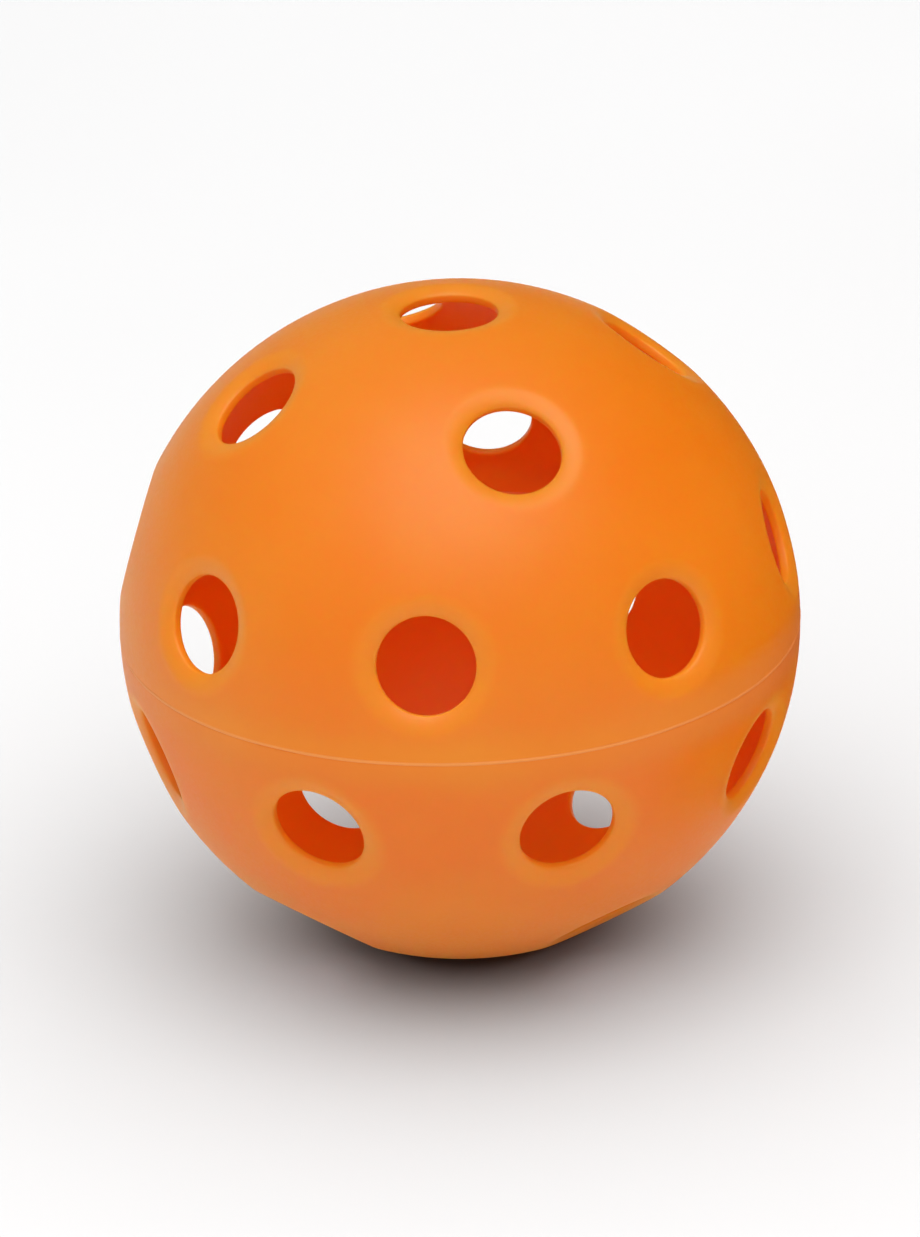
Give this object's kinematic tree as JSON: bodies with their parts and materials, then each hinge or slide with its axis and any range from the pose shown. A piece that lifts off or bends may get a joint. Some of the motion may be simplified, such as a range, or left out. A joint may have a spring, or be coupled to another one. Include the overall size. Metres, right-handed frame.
{
  "type": "pickleball ball",
  "caption": "Hollow perforated plastic ball for paddle sports: two half shells with round rounded-edge holes, welded together at the equator.",
  "frame": {"origin": "the ball's centre", "axes": "+Z along the moulding axis through the two pole holes, -Y to the front through one hole of the upper half's ring; the weld lies in the XY plane; at rest the ball stands on its lower pole hole"},
  "size_m": [0.0742, 0.0742, 0.0726],
  "materials": {
    "shell": "moulded orange polyethylene, satin, fine texture, slightly translucent",
    "weld": "the same polyethylene, melted and set again, a little lighter"
  },
  "bodies": {
    "root": {"upper_half_shell": "shell", "lower_half_shell": "shell", "weld_bead": "weld"}
  },
  "joints": []
}
